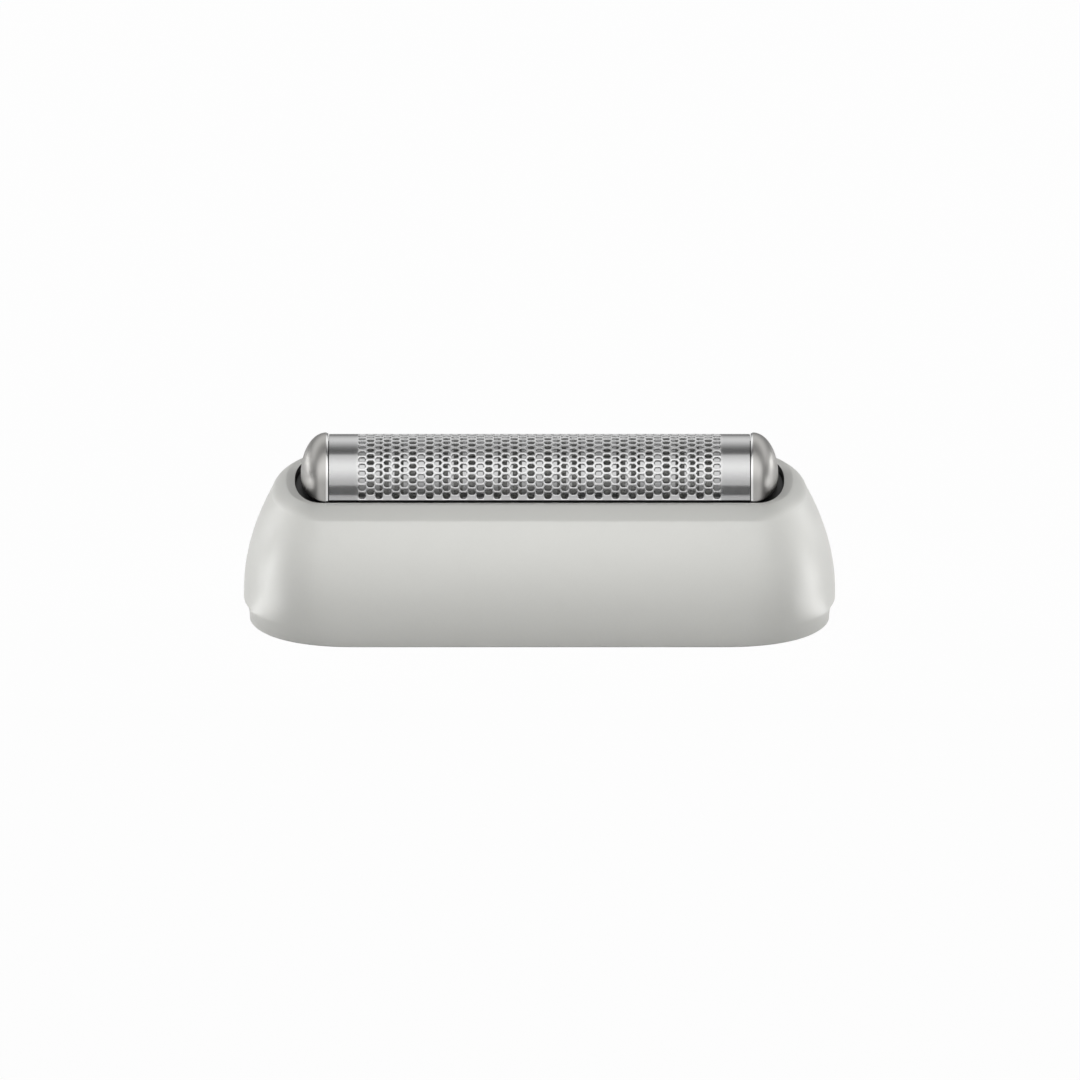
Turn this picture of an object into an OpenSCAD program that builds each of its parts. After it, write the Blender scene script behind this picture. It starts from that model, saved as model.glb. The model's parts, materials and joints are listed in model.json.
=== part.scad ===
// Foil shaver head: a tapering housing with a floating foil cassette and an oscillating blade block.
// The long side runs along X, the front is towards -Y, and the housing stands on its lower rim at z = 0.

/* [Housing] */
// Length of the housing at its widest
housing_length = 42.1; // [40:0.1:46]
// Depth of the housing at its widest
housing_depth = 15.24; // [14.8:0.1:17]
// Height of the widest section above the lower rim
widest_height = 2.0; // [1.5:0.1:3]
// Height of the ridge round the opening
ridge_height = 10.17; // [10:0.05:10.6]
// How high the sloped band rises from the crease to the ridge
band_rise = 0.94; // [0.67:0.01:1.17]
// How much shorter each end is at the crease than at the widest section
end_taper = 2.0; // [1.6:0.1:2.3]
// How much each long side leans in up to the crease
side_taper = 0.42; // [0.2:0.02:0.5]
// How far the band slopes in at each end
band_end_run = 1.03; // [0.8:0.05:1.2]
// How far the band slopes in at each long side
band_side_run = 1.12; // [1:0.02:1.3]
// Length of the rounded end at the foot of the housing
foot_end_run = 8.0; // [7:0.1:9]
// Length of the rounded end at the crease
crease_end_run = 3.9; // [3.4:0.1:4.5]
// Length of the rounded end at the ridge
ridge_end_run = 2.7; // [2.2:0.1:3]
// Wall thickness of the housing
wall = 1.2; // [1:0.05:1.3]
// Rounding of the lower edge
foot_round = 0.15; // [0.1:0.05:0.3]
// How far each end steps in at the foot, for the finger to lift the head off
foot_step = 0.35; // [0.2:0.05:0.5]
// Height of the middle of the step
step_height = 0.95; // [0.8:0.05:1.2]
// Height over which the step turns out
step_blend = 0.7; // [0.5:0.05:0.9]

/* [Opening] */
// Width of the flat land at each end of the opening
land_end = 0.62; // [0.5:0.02:0.7]
// Width of the flat land in front of and behind the opening
land_side = 0.38; // [0.3:0.02:0.45]
// Length of the rounded end of the opening
opening_end_run = 2.0; // [1.6:0.1:2.4]
// Thickness of the deck round the opening
deck_thickness = 2.25; // [2.1:0.05:2.4]

/* [Foil] */
// Outer radius of the foil arch
foil_radius = 3.6; // [3.5:0.02:3.7]
// Thickness of the foil
foil_thickness = 0.08; // [0.06:0.01:0.1]
// Room between the end caps and the ends of the opening
end_room = 0.42; // [0.35:0.01:0.5]
// How far the axis of the arch lies below the ridge round the opening
arch_drop = 0.38; // [0.22:0.02:0.42]
// Height of the lower edge of the foil above the flange of the frame
foil_lift = 0.23; // [0.18:0.01:0.53]
// Length of the plain strip at each end of the foil
plain_end = 2.15; // [1.8:0.05:3]
// Distance of the columns of holes along the foil
column_pitch = 1.23; // [1.15:0.01:1.6]
// Rows of holes round the arch in the longer columns
hole_rows = 11; // [7:2:11]
// Length of a hole
hole_length = 0.95; // [0.8:0.05:1]
// Width of a hole round the arch
hole_width = 0.72; // [0.5:0.02:0.8]
// Angle of the arch that the holes cover to each side
field_angle = 85; // [70:1:86]

/* [End caps] */
// How far the end caps stand out over the foil
cap_lip = 0.11; // [0.06:0.01:0.18]
// Length of the dome of an end cap
cap_dome = 1.96; // [1.8:0.02:2.1]
// Height of the nose of the dome above the axis of the arch
nose_rise = 0.78; // [0.61:0.01:1.01]
// How far the lower edge of a cap lies below the axis of the arch
cap_foot_drop = 0.24; // [0.14:0.01:0.29]
// Radius of the lower corners of a cap
cap_corner = 0.5; // [0.3:0.05:0.6]
// Depth of the socket in a cap
cap_socket_depth = 0.72; // [0.6:0.02:0.8]
// Wall of a cap round its boss
cap_wall = 0.61; // [0.56:0.01:0.71]

/* [Cassette frame] */
// Clearance of the flange inside the housing
flange_gap = 0.1; // [0.08:0.01:0.14]
// Thickness of the flange
flange_thickness = 0.95; // [0.8:0.05:1]
// How far the top of the skirt that closes the gap round the cassette lies below the axis of the arch
skirt_drop = 0.09; // [0:0.01:0.39]
// Thickness of the skirt
skirt_thickness = 0.45; // [0.35:0.05:0.5]
// How far the tops of the frame's inner rails lie below the axis of the arch
rail_drop = 0.39; // [0.34:0.01:0.59]
// Thickness of the inner rails behind the foil
rail_thickness = 0.55; // [0.5:0.01:0.6]
// Room between the end blocks and the inside of the foil
end_block_room = 0.32; // [0.22:0.02:0.52]
// How far the tops of the clamp strips lie below the axis of the arch
clamp_drop = 0.17; // [0.09:0.01:0.29]
// Thickness of the clamp strips
clamp_thickness = 0.6; // [0.5:0.05:0.8]
// Heat stakes on each long side
stake_count = 5; // [3:1:7]
// Radius of a heat stake
stake_radius = 0.3; // [0.25:0.01:0.35]

/* [Blades] */
// Room left at each end of the blade block at the end of its travel
block_room = 0.45; // [0.35:0.05:0.8]
// Thickness of a blade
blade_thickness = 0.4; // [0.3:0.02:0.5]
// Radial width of a blade's arch
blade_band = 1.0; // [0.8:0.05:1.1]
// Room between the blade block and the frame's inner rails
blade_side_room = 0.2; // [0.18:0.01:0.27]
// Width of a blade's foot
blade_foot_width = 0.85; // [0.7:0.05:0.9]
// How far the top of the blade carrier lies below the axis of the arch
carrier_drop = 0.54; // [0.44:0.01:0.69]
// Height of the blade carrier
carrier_height = 1.15; // [1.05:0.05:1.25]
// Depth of a blade's slot in the carrier
slot_depth = 0.5; // [0.4:0.05:0.6]

/* [Drive] */
// Travel of the blade block to each side
drive_travel = 1.0; // [0.8:0.1:1.1]
// Travel of the foil cassette downwards
float_travel = 1.0; // [0.8:0.05:1]
// Thickness of the drive bridge
bridge_thickness = 0.75; // [0.6:0.05:0.8]
// How much shorter than the blade block the drive bridge is at each end
bridge_inset = 1.6; // [1.4:0.1:2.5]
// How much narrower than the blade block the drive bridge is on each side
bridge_side = 0.12; // [0.07:0.01:0.32]
// Distance of the guide posts from the ends of the drive bridge
post_inset = 4; // [2.5:0.1:5.5]
// Radius of the guide posts
post_radius = 0.85; // [0.8:0.01:0.9]
// Radius of the bore for the shaver's drive pin
socket_radius = 1.1; // [0.9:0.05:1.2]
// Depth of the bore for the shaver's drive pin
socket_depth = 2.4; // [2:0.1:2.6]
// Height of the mouth of the drive socket
socket_mouth = 1.9; // [1.8:0.1:2.2]
// Wall round the drive socket
socket_wall = 0.75; // [0.6:0.05:0.8]

/* [Chassis] */
// Thickness of the chassis floor
floor_thickness = 0.75; // [0.7:0.05:0.8]
// Height of the rim that stands on the chassis floor
chassis_rim = 0.6; // [0.5:0.05:0.65]
// Room left between the rim and the cassette when it is pressed down
rim_room = 0.32; // [0.27:0.01:0.42]
// Thickness of the snap arms
arm_thickness = 0.8; // [0.7:0.05:0.9]
// Width of the snap arms
arm_width = 5; // [4:0.1:6]
// Reach of the snap arms below the floor
arm_reach = 3.6; // [3.2:0.1:3.9]
// Room behind the snap arms to spring back
arm_room = 1.1; // [0.9:0.05:1.3]
// Reach of the catch on each snap arm
catch_reach = 0.5; // [0.4:0.05:0.6]

/* [Springs] */
// Radius of the wire of the float springs
float_wire = 0.11; // [0.08:0.01:0.12]
// Mean radius of the float springs
float_spring_radius = 0.58; // [0.55:0.01:0.62]
// Radius of the wire of the cutter springs
cutter_wire = 0.11; // [0.08:0.01:0.12]
// Mean radius of the cutter springs
cutter_spring_radius = 1.2; // [1.15:0.01:1.3]

/* [Clearances] */
// Clearance of pieces that slide in each other
slide_gap = 0.08; // [0.05:0.01:0.1]
// Clearance of pieces that are fitted and stay
fit_gap = 0.05; // [0.02:0.01:0.05]
// Clearance of pieces that move past each other freely
free_gap = 0.3; // [0.25:0.01:0.35]

/* [Hidden] */

// Smoothness of true round shapes
$fn = 64;
// Steps of each quarter of a lofted outline
quarter_steps = 12;
// Overlap of solids that are cut from or joined to each other
eps = 0.01;

// Squareness of the rounded ends, 2 is an ellipse
foot_square = 2.2;
crease_square = 2.1;
ridge_square = 2.3;
opening_square = 2.2;

// Colours as seen
housing_grey = [0.79, 0.79, 0.77];
frame_black = [0.09, 0.09, 0.09];
satin_metal = [0.74, 0.73, 0.71];
foil_steel = [0.80, 0.79, 0.77];
blade_steel = [0.72, 0.72, 0.72];
spring_steel = [0.60, 0.60, 0.61];
drive_white = [0.88, 0.88, 0.85];

// Half sizes and stations of the housing
half_length = housing_length / 2;
half_depth = housing_depth / 2;
crease_height = ridge_height - band_rise;
crease_half_length = half_length - end_taper;
crease_half_depth = half_depth - side_taper;
ridge_half_length = crease_half_length - band_end_run;
ridge_half_depth = crease_half_depth - band_side_run;
opening_half_length = ridge_half_length - land_end;
opening_half_depth = ridge_half_depth - land_side;
deck_bottom = ridge_height - deck_thickness;
band_bulge = 0.22;

// Heights inside the housing
flange_top = deck_bottom - fit_gap;
flange_bottom = flange_top - flange_thickness;
ledge_height = flange_bottom - float_travel - rim_room;
ledge_width = 0.2;
floor_top = ledge_height - chassis_rim;
floor_height = floor_top - floor_thickness;
bridge_bottom = floor_top + slide_gap;
bridge_top = bridge_bottom + bridge_thickness;

// Heights on the cassette and the blade block
arch_height = ridge_height - arch_drop;
foil_foot = flange_top + foil_lift;
nose_height = arch_height + nose_rise;
cap_foot = arch_height - cap_foot_drop;
skirt_top = arch_height - skirt_drop;
rail_top = arch_height - rail_drop;
clamp_top = arch_height - clamp_drop;
carrier_top = arch_height - carrier_drop;
carrier_bottom = carrier_top - carrier_height;

// Places along the cassette
cap_gap = 0.07;
cap_face = opening_half_length - end_room - cap_dome;
foil_half = cap_face - cap_gap;
foil_length = 2 * foil_half;
foil_inner = foil_radius - foil_thickness;
cap_radius = foil_radius + cap_lip;
cap_boss_radius = cap_radius - cap_wall;
end_block_half = foil_inner - end_block_room;
skirt_half_length = opening_half_length - slide_gap;
skirt_half_depth = opening_half_depth - slide_gap;
foil_lap = 0.4;
end_block_inner = foil_half - foil_lap;
skirt_lap = 0.1;
end_block_outer = skirt_half_length - skirt_thickness + skirt_lap;
end_block_length = end_block_outer - end_block_inner;
hole_columns = 1 + 2 * floor((foil_half - plain_end - hole_length / 2) / column_pitch);
rail_outer = foil_inner - fit_gap;
rail_inner = rail_outer - rail_thickness;
clamp_inner = foil_radius + fit_gap / 5;
clamp_outer = clamp_inner + clamp_thickness;
stake_height = (foil_foot + rail_top) / 2;
stake_head = 0.22;
stake_margin = 2.5;
stake_span = foil_length - 2 * stake_margin;

// Flange of the cassette under the deck
flange_half_length = body_half_length(flange_top) - wall - ledge_width - flange_gap;
flange_half_depth = body_half_depth(flange_top) - wall - ledge_width - flange_gap;
flange_end_trim = 0.8;
flange_end_run = crease_end_run - flange_end_trim;

// Places of the springs and the blades
float_spring_x = end_block_inner + end_block_length / 2;
float_pocket_radius = float_spring_radius + float_wire + slide_gap;
float_pocket_roof = 0.5;
float_pocket_top = rail_top - float_pocket_roof;
blade_count = 25;
blade_radius = foil_inner - fit_gap;
blade_foot_half = rail_inner - blade_side_room;
blade_slot_floor = carrier_top - slot_depth;
carrier_half_length = end_block_inner - drive_travel - block_room;
carrier_end_wall = 0.3;
blade_pitch = 2 * (carrier_half_length - carrier_end_wall - blade_thickness / 2) / (blade_count - 1);
spine_gap = 0.25;
carrier_spine_half = blade_foot_half - blade_foot_width - spine_gap;
bridge_length = 2 * (carrier_half_length - bridge_inset);
bridge_half = blade_foot_half - bridge_side;
post_reach = bridge_length / 2 - post_inset;

// Half size of the outline of the housing at height z, set in from the outer skin by inset
function rise(z) = max(0, (z - widest_height) / (crease_height - widest_height));
function smooth(t) = let (u = min(1, max(0, t))) u * u * (3 - 2 * u);
function step_in(z) = foot_step * (1 - smooth((z - step_height) / step_blend + 0.5));
function up_body(foot, crease, z) = foot + (crease - foot) * min(1, z / crease_height);
function body_half_length(z) = half_length - end_taper * pow(rise(z), 2);
function body_half_depth(z) = half_depth - side_taper * pow(rise(z), 2);
function body_end_run(z) = up_body(foot_end_run, crease_end_run, z);
function body_square(z) = up_body(foot_square, crease_square, z);

// Point of a quarter outline: a straight side, then a curve that closes the end
function quarter_point(hl, hd, run, square, a) =
  [hl - run + run * pow(cos(a), 2 / square), hd * pow(sin(a), 2 / square)];

// Closed outline with a straight front and back and rounded ends
function outline(hl, hd, run, square, steps = quarter_steps) =
  let (q = [for (k = [0:steps]) quarter_point(hl, hd, run, square, 90 * k / steps)])
  concat(
    q,
    [for (k = [steps:-1:0]) [-q[k][0], q[k][1]]],
    [for (k = [1:steps]) [-q[k][0], -q[k][1]]],
    [for (k = [steps:-1:1]) [q[k][0], -q[k][1]]]
  );

function lifted(points, z) = [for (p = points) [p[0], p[1], z]];

function body_outline(z, inset, end_inset = 0) =
  outline(
    body_half_length(z) - inset - end_inset, body_half_depth(z) - inset,
    body_end_run(z) - inset - end_inset, body_square(z));

// Solid through a stack of rings with the same number of points
module loft(rings) {
  n = len(rings[0]);
  last = len(rings) - 1;
  sides = [
    for (i = [0:last - 1], j = [0:n - 1])
      let (a = i * n + j, b = i * n + (j + 1) % n)
      each [[a, a + n, b + n], [a, b + n, b]]
  ];
  polyhedron(
    points = [for (ring = rings) each ring],
    faces = concat([[for (j = [0:n - 1]) j]], sides, [[for (j = [n - 1:-1:0]) last * n + j]])
  );
}

// Outer skin: rounded foot with a step in each end, swelling body, crisp crease, sloped band and ridge
module housing_skin() {
  foot_rings = [
    for (k = [0:2])
      let (a = 45 * k, z = foot_round * (1 - cos(a)), inset = foot_round * (1 - sin(a)))
      lifted(body_outline(z, inset, step_in(z)), z)
  ];
  step_rings = [
    for (k = [0:4])
      let (z = step_height + step_blend * (k / 4 - 0.5))
      lifted(body_outline(z, 0, step_in(z)), z)
  ];
  first = widest_height;
  body_rings = [
    for (k = [0:6])
      let (z = first + (crease_height - first) * k / 6)
      lifted(body_outline(z, 0), z)
  ];
  band_middle = lifted(
    outline(
      (crease_half_length + ridge_half_length) / 2 + band_bulge,
      (crease_half_depth + ridge_half_depth) / 2 + band_bulge,
      (crease_end_run + ridge_end_run) / 2, (crease_square + ridge_square) / 2),
    (crease_height + ridge_height) / 2);
  ridge = lifted(outline(ridge_half_length, ridge_half_depth, ridge_end_run, ridge_square), ridge_height);
  loft(concat(foot_rings, step_rings, body_rings, [band_middle, ridge]));
}

// Room inside the housing, narrower above the ledge that the chassis seats on
module housing_room() {
  lower = [
    for (z = [-eps, step_height, ledge_height])
      lifted(body_outline(max(z, 0), wall), z)
  ];
  upper = [
    for (z = [ledge_height - eps, (ledge_height + deck_bottom) / 2, deck_bottom])
      lifted(body_outline(z, wall + ledge_width), z)
  ];
  loft(lower);
  loft(upper);
}

// Bead inside the wall that the chassis snaps over
module snap_bead() {
  bead_radius = 0.35;
  bead_length = 4;
  bead_reach = 9;
  bead_y = body_half_depth(floor_height) - wall;
  bead_z = floor_height - bead_radius - fit_gap;
  for (side = [-1, 1], end = [-1, 1])
    translate([end * bead_reach, side * bead_y, bead_z])
      rotate([0, 90, 0])
        cylinder(r = bead_radius, h = bead_length, center = true, $fn = 24);
}

module housing() {
  color(housing_grey)
    difference() {
      union() {
        difference() {
          housing_skin();
          housing_room();
        }
        snap_bead();
      }
      translate([0, 0, deck_bottom - 1])
        linear_extrude(ridge_height)
          polygon(outline(opening_half_length, opening_half_depth, opening_end_run, opening_square));
    }
}

module chassis_plate(z, height, inset) {
  in = wall + fit_gap + inset;
  translate([0, 0, z])
    linear_extrude(height)
      polygon(outline(
        body_half_length(ledge_height) - in, body_half_depth(ledge_height) - in,
        body_end_run(floor_height) - in, body_square(floor_height)));
}

module snap_arms() {
  arm_x = body_half_length(floor_height) - wall - arm_thickness - arm_room;
  lead_in = 0.25;
  catch_height = 0.7;
  for (end = [-1, 1])
    translate([0, 0, floor_height - arm_reach])
      rotate([90, 0, 0])
        translate([0, 0, -arm_width / 2])
          linear_extrude(arm_width)
            polygon([
              [end * arm_x, lead_in],
              [end * (arm_x + lead_in), 0],
              [end * (arm_x + arm_thickness), 0],
              [end * (arm_x + arm_thickness), arm_reach + eps],
              [end * arm_x, arm_reach + eps],
              [end * arm_x, catch_height + 2 * catch_reach],
              [end * (arm_x - catch_reach), catch_height + catch_reach],
              [end * (arm_x - catch_reach), catch_height]
            ]);
}

module chassis() {
  rim_thickness = 0.7;
  window_half = socket_radius + socket_wall + drive_travel + free_gap;
  window_depth = socket_radius + socket_wall + free_gap;
  pin_height = 0.9;
  guide_height = 0.45;
  guide_width = 0.6;
  guide_y = bridge_half + slide_gap + guide_width / 2;
  color(frame_black) {
    difference() {
      chassis_plate(floor_height, floor_thickness + chassis_rim, 0);
      chassis_plate(floor_top, chassis_rim + eps, rim_thickness);
      translate([-window_half, -window_depth, floor_height - eps])
        cube([2 * window_half, 2 * window_depth, floor_thickness + 2 * eps]);
    }
    // Guides on both sides of the drive bridge
    for (side = [-1, 1])
      translate([-bridge_length / 2, side * guide_y - guide_width / 2, floor_top - eps])
        cube([bridge_length, guide_width, guide_height + eps]);
    // Pins that centre the float springs
    for (end = [-1, 1])
      translate([end * float_spring_x, 0, floor_top - eps])
        cylinder(r = float_spring_radius - float_wire - fit_gap, h = pin_height + eps, $fn = 24);
    snap_arms();
  }
}

// Hole of six sides with its long way along X
module hex_hole() {
  linear_extrude(foil_thickness * 8, center = true)
    polygon([
      [-hole_length / 2, 0], [-hole_length / 4, hole_width / 2], [hole_length / 4, hole_width / 2],
      [hole_length / 2, 0], [hole_length / 4, -hole_width / 2], [-hole_length / 4, -hole_width / 2]
    ]);
}

// Arch with straight sides, seen from the end: y across and z up
module arch_profile(radius, foot) {
  intersection() {
    union() {
      translate([0, arch_height])
        circle(r = radius);
      translate([-radius, foot])
        square([2 * radius, arch_height - foot]);
    }
    translate([-2 * radius, foot])
      square([4 * radius, 4 * radius]);
  }
}

// Lays an end profile along X, centred on the middle of the head
module along_x(length) {
  rotate([90, 0, 90])
    translate([0, 0, -length / 2])
      linear_extrude(length)
        children();
}

// Places a child at each heat stake of one side, pointing outwards
module at_stakes(side) {
  for (k = [0:stake_count - 1])
    translate([(k / (stake_count - 1) - 0.5) * stake_span, 0, stake_height])
      rotate([side > 0 ? -90 : 90, 0, 0])
        children();
}

module foil() {
  row_angle = 2 * field_angle / (hole_rows - 1);
  color(foil_steel)
    difference() {
      along_x(foil_length)
        difference() {
          arch_profile(foil_radius, foil_foot);
          arch_profile(foil_inner, foil_foot - 1);
        }
      for (c = [0:hole_columns - 1]) {
        rows = hole_rows - c % 2;
        for (k = [0:rows - 1])
          translate([(c - (hole_columns - 1) / 2) * column_pitch, 0, arch_height])
            rotate([(k - (rows - 1) / 2) * row_angle, 0, 0])
              translate([0, 0, foil_radius - foil_thickness / 2])
                hex_hole();
      }
      for (side = [-1, 1])
        at_stakes(side)
          cylinder(r = stake_radius + fit_gap, h = 2 * foil_radius, $fn = 24);
    }
}

// Wall that stands in the opening round the cassette and keeps hair out of the housing
module skirt() {
  translate([0, 0, flange_top - eps])
    linear_extrude(skirt_top - flange_top + eps)
      difference() {
        polygon(outline(skirt_half_length, skirt_half_depth, opening_end_run, opening_square));
        polygon(outline(
          skirt_half_length - skirt_thickness, skirt_half_depth - skirt_thickness,
          opening_end_run - skirt_thickness, opening_square));
      }
}

module foil_frame() {
  boss_length = cap_socket_depth - fit_gap;
  ledge_radius = foil_inner - fit_gap / 5;
  rail_half_length = end_block_inner + rail_thickness;
  rail_height = rail_top - flange_bottom - 2 * eps;
  color(frame_black)
    difference() {
      union() {
        translate([0, 0, flange_bottom])
          linear_extrude(flange_thickness)
            polygon(outline(flange_half_length, flange_half_depth, flange_end_run, crease_square));
        skirt();
        for (side = [-1, 1])
          translate([-rail_half_length, side > 0 ? rail_inner : -rail_outer, flange_bottom + eps])
            cube([2 * rail_half_length, rail_thickness, rail_height]);
        for (end = [-1, 1]) {
          translate([end > 0 ? end_block_inner : -end_block_outer, -end_block_half, flange_bottom])
            cube([end_block_length, 2 * end_block_half, rail_top - flange_bottom]);
          // Ledge inside the end of the foil, and the boss inside the cap
          translate([end * (end_block_inner + (cap_face - fit_gap - end_block_inner) / 2), 0, 0])
            along_x(cap_face - fit_gap - end_block_inner)
              arch_profile(ledge_radius, flange_bottom + flange_thickness / 2);
          translate([end * (cap_face - 2 * fit_gap + (boss_length + fit_gap) / 2), 0, 0])
            along_x(boss_length + fit_gap)
              arch_profile(cap_boss_radius, rail_top - 1);
        }
        for (side = [-1, 1])
          at_stakes(side) {
            cylinder(r = stake_radius, h = clamp_outer + stake_head / 2, $fn = 24);
            translate([0, 0, clamp_outer])
              cylinder(r = 2 * stake_radius, h = stake_head, $fn = 24);
          }
      }
      // Room for the blade block
      translate([-end_block_inner, -rail_inner, flange_bottom - eps])
        cube([2 * end_block_inner, 2 * rail_inner, 2 * foil_radius]);
      for (end = [-1, 1])
        translate([end * float_spring_x, 0, flange_bottom - eps])
          cylinder(r = float_pocket_radius, h = float_pocket_top - flange_bottom + eps, $fn = 32);
    }
}

module clamp_strip(side) {
  color(frame_black)
    difference() {
      translate([-end_block_inner, side > 0 ? clamp_inner : -clamp_outer, flange_top + fit_gap / 5])
        cube([2 * end_block_inner, clamp_thickness, clamp_top - flange_top - fit_gap / 5]);
      at_stakes(side)
        cylinder(r = stake_radius + fit_gap / 2, h = 2 * clamp_outer, $fn = 24);
    }
}

// Ring of a cap: the end profile drawn in towards the nose as the dome closes
function cap_profile() =
  let (arc_steps = 24,
    corner_steps = 3,
    corner_y = cap_radius - cap_corner,
    corner_z = cap_foot + cap_corner)
  concat(
    [for (k = [corner_steps:-1:0])
      let (a = 90 * k / corner_steps)
      [corner_y + cap_corner * cos(a), corner_z - cap_corner * sin(a)]],
    [for (k = [arc_steps - 1:-1:1])
      let (a = 180 * k / arc_steps - 90)
      [cap_radius * sin(a), arch_height + cap_radius * cos(a)]],
    [for (k = [0:corner_steps])
      let (a = 90 * k / corner_steps)
      [-corner_y - cap_corner * cos(a), corner_z - cap_corner * sin(a)]]
  );

function cap_ring(t) =
  [for (p = cap_profile())
    [cap_face + cap_dome * sin(t), p[0] * cos(t), nose_height + (p[1] - nose_height) * cos(t)]];

module end_cap() {
  color(satin_metal)
    difference() {
      loft([for (t = [0, 12, 24, 36, 47, 57, 66, 74, 81, 86]) cap_ring(t)]);
      translate([cap_face - 1 + cap_socket_depth / 2, 0, 0])
        along_x(2 + cap_socket_depth)
          arch_profile(cap_boss_radius + fit_gap, cap_foot - 1);
    }
}

module blade_profile() {
  foot_lap = 0.6;
  intersection() {
    union() {
      difference() {
        translate([0, arch_height])
          circle(r = blade_radius);
        translate([0, arch_height])
          circle(r = blade_radius - blade_band);
        translate([-2 * blade_radius, arch_height - 2 * blade_radius])
          square([4 * blade_radius, 2 * blade_radius]);
      }
      for (side = [-1, 1])
        translate([side > 0 ? blade_foot_half - blade_foot_width : -blade_foot_half, blade_slot_floor])
          square([blade_foot_width, arch_height - blade_slot_floor + foot_lap]);
    }
    translate([-2 * blade_radius, 0])
      square([4 * blade_radius, arch_height + 2 * blade_radius]);
  }
}

function blade_place(number) = (number - (blade_count + 1) / 2) * blade_pitch;

module blade(number) {
  color(blade_steel)
    translate([blade_place(number), 0, 0])
      along_x(blade_thickness)
        blade_profile();
}

module blade_carrier() {
  slot_gap = fit_gap / 5;
  slot_width = blade_thickness + 2 * slot_gap;
  bore = post_radius + slide_gap;
  color(frame_black)
    difference() {
      translate([-carrier_half_length, -blade_foot_half, carrier_bottom])
        cube([2 * carrier_half_length, 2 * blade_foot_half, carrier_top - carrier_bottom]);
      for (number = [1:blade_count], side = [-1, 1])
        translate([blade_place(number) - slot_width / 2, 0, blade_slot_floor])
          translate([0, side > 0 ? carrier_spine_half : -carrier_spine_half - 2 * blade_foot_half, 0])
            cube([slot_width, 2 * blade_foot_half, slot_depth + eps]);
      for (end = [-1, 1])
        translate([end * post_reach, 0, carrier_bottom - eps])
          cylinder(r = bore, h = carrier_top - carrier_bottom + 2 * eps);
    }
}

module drive_bridge() {
  socket_outer = socket_radius + socket_wall;
  post_top = carrier_top;
  color(drive_white)
    difference() {
      union() {
        translate([-bridge_length / 2, -bridge_half, bridge_bottom])
          cube([bridge_length, 2 * bridge_half, bridge_thickness]);
        translate([0, 0, socket_mouth])
          cylinder(r = socket_outer, h = bridge_bottom - socket_mouth + eps);
        for (end = [-1, 1])
          translate([end * post_reach, 0, bridge_top - eps])
            cylinder(r = post_radius, h = post_top - bridge_top + eps);
      }
      translate([0, 0, socket_mouth - eps])
        cylinder(r = socket_radius, h = socket_depth + eps);
    }
}

// Height of a spring's wire after a share of its turns, with one closed turn at each end
function spring_height(share, turns, height, wire) =
  let (closed = 1 / turns, ends = 2 * wire)
  share < closed ? ends * share / closed
  : share > 1 - closed ? height - ends + ends * (share - 1 + closed) / closed
  : ends + (height - 2 * ends) * (share - closed) / (1 - 2 * closed);

// Coil spring swept from a wire of round section
module coil_spring(radius, wire, turns, height) {
  wire_sides = 6;
  turn_steps = 12;
  steps = turns * turn_steps;
  loft([
    for (k = [0:steps])
      let (a = 360 * k / turn_steps, z = wire + spring_height(k / steps, turns, height - 2 * wire, wire))
      [for (j = [0:wire_sides - 1])
        let (b = -360 * j / wire_sides, r = radius + wire * cos(b))
        [r * cos(a), r * sin(a), z + wire * sin(b)]]
  ]);
}

module float_spring(end) {
  color(spring_steel)
    translate([end * float_spring_x, 0, floor_top])
      coil_spring(float_spring_radius, float_wire, 6, float_pocket_top - floor_top);
}

module cutter_spring(end) {
  color(spring_steel)
    translate([end * post_reach, 0, bridge_top])
      coil_spring(cutter_spring_radius, cutter_wire, 4, carrier_bottom - bridge_top);
}

housing();
chassis();
float_spring(-1);  // float_spring_left
float_spring(1);  // float_spring_right
foil();
foil_frame();
clamp_strip(-1);  // clamp_front
clamp_strip(1);  // clamp_rear
mirror([1, 0, 0]) end_cap();  // end_cap_left
end_cap();  // end_cap_right
drive_bridge();
cutter_spring(-1);  // cutter_spring_left
cutter_spring(1);  // cutter_spring_right
blade_carrier();
blade(1);  // blade_01
blade(2);  // blade_02
blade(3);  // blade_03
blade(4);  // blade_04
blade(5);  // blade_05
blade(6);  // blade_06
blade(7);  // blade_07
blade(8);  // blade_08
blade(9);  // blade_09
blade(10);  // blade_10
blade(11);  // blade_11
blade(12);  // blade_12
blade(13);  // blade_13
blade(14);  // blade_14
blade(15);  // blade_15
blade(16);  // blade_16
blade(17);  // blade_17
blade(18);  // blade_18
blade(19);  // blade_19
blade(20);  // blade_20
blade(21);  // blade_21
blade(22);  // blade_22
blade(23);  // blade_23
blade(24);  // blade_24
blade(25);  // blade_25
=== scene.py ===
"""Foil shaver head: the smooth housing, the full foil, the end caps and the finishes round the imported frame."""
import json
import math

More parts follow.
